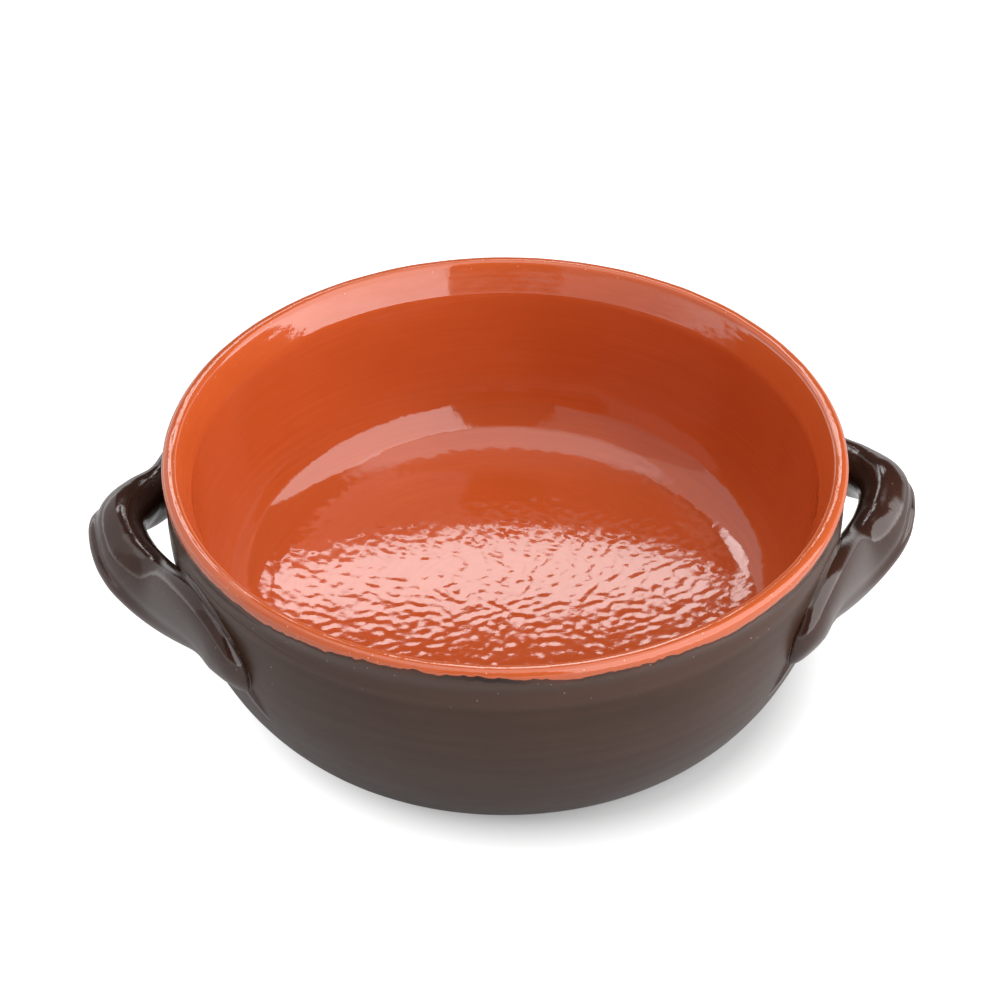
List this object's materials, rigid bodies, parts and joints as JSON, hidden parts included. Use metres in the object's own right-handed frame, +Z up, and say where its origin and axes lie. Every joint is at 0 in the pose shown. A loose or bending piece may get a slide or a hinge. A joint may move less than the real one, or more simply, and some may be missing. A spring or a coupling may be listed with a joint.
{
  "type": "baking dish",
  "caption": "Round deep earthenware baking dish with a glossy orange inside, a dark brown outside and a clay loop handle on each side.",
  "frame": {"origin": "middle of the foot, on the surface that the dish stands on", "axes": "+Z up out of the dish, +X towards the right handle"},
  "size_m": [0.2217, 0.18, 0.063],
  "materials": {
    "red_clay": "bare fired earthenware, matte",
    "brown_glaze": "dark brown glaze, satin on the wall and glossier on the handles",
    "fired_slip": "fired joining slip",
    "orange_glaze": "clear glossy glaze over orange-red clay"
  },
  "bodies": {
    "root": {"bowl": "red_clay", "left_handle": "brown_glaze", "right_handle": "brown_glaze", "left_front_slip": "fired_slip", "left_back_slip": "fired_slip", "right_front_slip": "fired_slip", "right_back_slip": "fired_slip", "inner_glaze": "orange_glaze", "outer_glaze": "brown_glaze"}
  },
  "joints": []
}
